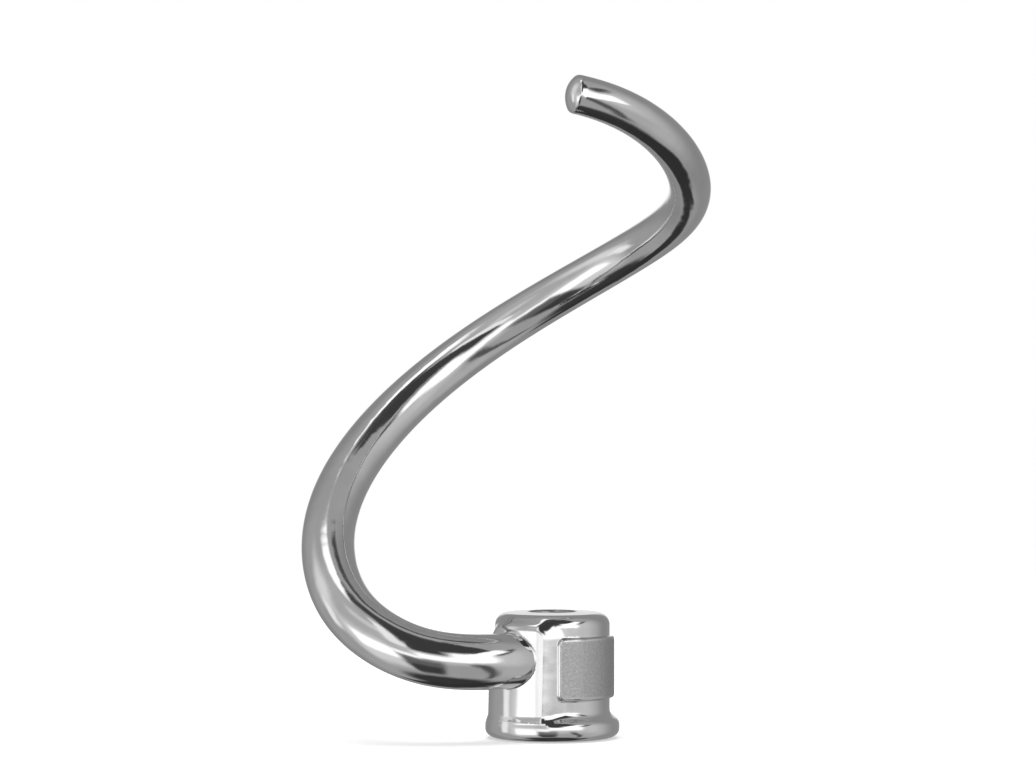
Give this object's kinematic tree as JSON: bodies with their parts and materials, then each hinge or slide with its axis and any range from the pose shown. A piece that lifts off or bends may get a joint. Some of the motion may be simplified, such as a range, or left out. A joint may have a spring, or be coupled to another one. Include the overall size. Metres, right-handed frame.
{
  "type": "stand mixer dough hook",
  "caption": "Polished steel spiral dough hook for a stand mixer: a tapered rod coils up from a flanged hub whose bore takes the mixer's drive shaft.",
  "frame": {"origin": "centre of the drive bore on the hub's base", "axes": "+Z along the bore's axis from the base towards the coil; -Y towards the viewer of the picture, so the rod leaves the hub towards -X and -Y"},
  "size_m": [0.117, 0.1114, 0.1873],
  "materials": {
    "polished_steel": "polished stainless steel, with a dull cast face on the hub's raised plate"
  },
  "bodies": {
    "root": {"dough_hook": "polished_steel"}
  },
  "joints": []
}
